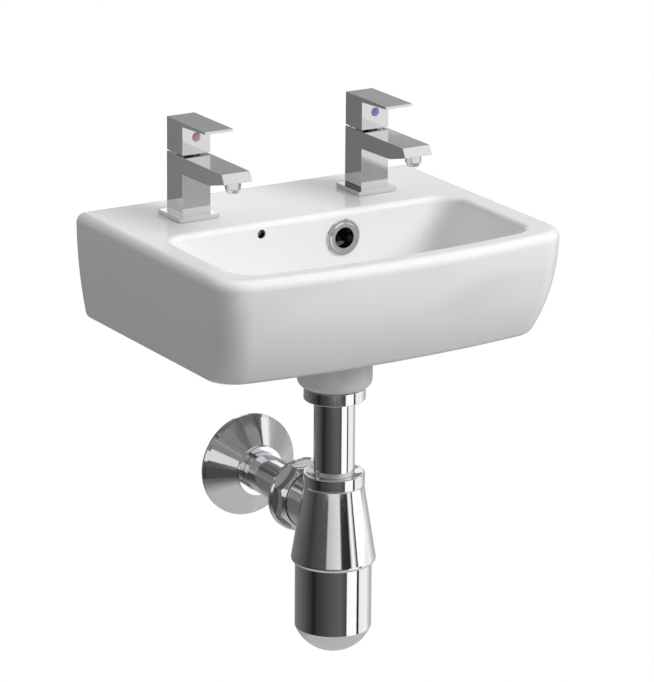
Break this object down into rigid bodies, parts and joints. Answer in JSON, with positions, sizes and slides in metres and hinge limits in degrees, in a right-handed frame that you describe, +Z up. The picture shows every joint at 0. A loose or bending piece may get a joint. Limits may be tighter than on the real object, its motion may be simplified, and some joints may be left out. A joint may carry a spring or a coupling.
{
  "type": "wall hung basin",
  "caption": "Wall hung rectangular basin with square lever pillar taps, a ringed overflow, a lift-out waste plug and a chromed bottle trap with a cover flange at the wall.",
  "frame": {"origin": "on the wall face, midway between the two wall bolt holes", "axes": "+X along the wall towards the cold tap, +Y into the wall, +Z up"},
  "size_m": [0.38, 0.3319, 0.5241],
  "materials": {
    "vitreous_china": "white glaze",
    "chromed_brass": "polished chromium plate",
    "bare_brass": "machined",
    "black_rubber": "moulded",
    "valve_ceramic": "lapped",
    "red_plastic": "moulded",
    "blue_plastic": "moulded",
    "flow_plastic": "moulded",
    "zinc_steel": "zinc plated"
  },
  "bodies": {
    "basin_and_pipes": {"basin": "vitreous_china", "overflow_ring": "chromed_brass", "waste_body": "chromed_brass", "waste_flange_seal": "black_rubber", "boss_washer": "black_rubber", "inlet_washer": "black_rubber", "trap_inlet_nut": "chromed_brass", "tail_pipe": "chromed_brass", "trap_top_nut": "chromed_brass", "trap_top_seal": "black_rubber", "trap_body": "chromed_brass", "outlet_nut": "chromed_brass", "outlet_seal": "black_rubber", "outlet_pipe": "chromed_brass", "hot_tap_body": "chromed_brass", "hot_base_plate": "chromed_brass", "hot_base_gasket": "black_rubber", "hot_fixing_washer": "zinc_steel", "hot_backnut": "bare_brass", "hot_valve_seal": "black_rubber", "hot_valve_housing": "bare_brass", "hot_fixed_disc": "valve_ceramic", "hot_aerator_housing": "chromed_brass", "hot_aerator_insert": "flow_plastic", "cold_tap_body": "chromed_brass", "cold_base_plate": "chromed_brass", "cold_base_gasket": "black_rubber", "cold_fixing_washer": "zinc_steel", "cold_backnut": "bare_brass", "cold_valve_seal": "black_rubber", "cold_valve_housing": "bare_brass", "cold_fixed_disc": "valve_ceramic", "cold_aerator_housing": "chromed_brass", "cold_aerator_insert": "flow_plastic"},
    "hot_handle": {"hot_lever": "chromed_brass", "hot_spindle": "bare_brass", "hot_moving_disc": "valve_ceramic", "hot_grub_screw": "zinc_steel", "hot_index_cap": "red_plastic"},
    "cold_handle": {"cold_lever": "chromed_brass", "cold_spindle": "bare_brass", "cold_moving_disc": "valve_ceramic", "cold_grub_screw": "zinc_steel", "cold_index_cap": "blue_plastic"},
    "plug": {"waste_plug": "chromed_brass", "plug_seal": "black_rubber"},
    "cup_carrier": {"cup_seal": "black_rubber"},
    "cup": {"trap_cup": "chromed_brass"},
    "flange": {"wall_flange": "chromed_brass"}
  },
  "joints": [
    {"name": "hot_tap_turn", "type": "hinge", "parent": "basin_and_pipes", "child": "hot_handle", "pos_m": [-0.1, -0.06, 0.14], "axis": [0, 0, 1], "range_deg": [0, 90]},
    {"name": "cold_tap_turn", "type": "hinge", "parent": "basin_and_pipes", "child": "cold_handle", "pos_m": [0.1, -0.06, 0.14], "axis": [0, 0, 1], "range_deg": [-90, 0]},
    {"name": "plug_lift", "type": "slide", "parent": "basin_and_pipes", "child": "plug", "axis": [0, 0, 1], "range_m": [0, 0.012]},
    {"name": "cup_drop", "type": "slide", "parent": "basin_and_pipes", "child": "cup_carrier", "axis": [0, 0, -1], "range_m": [0, 0.0121]},
    {"name": "cup_unscrew", "type": "hinge", "parent": "cup_carrier", "child": "cup", "pos_m": [0, -0.167, -0.32], "axis": [0, 0, -1], "range_deg": [0, 1440]},
    {"name": "flange_slide", "type": "slide", "parent": "basin_and_pipes", "child": "flange", "axis": [0, -1, 0], "range_m": [0, 0.06]}
  ],
  "couplings": [
    {"joint": "cup_drop", "follows": "cup_unscrew", "m_per_rad": 0.00047746}
  ]
}
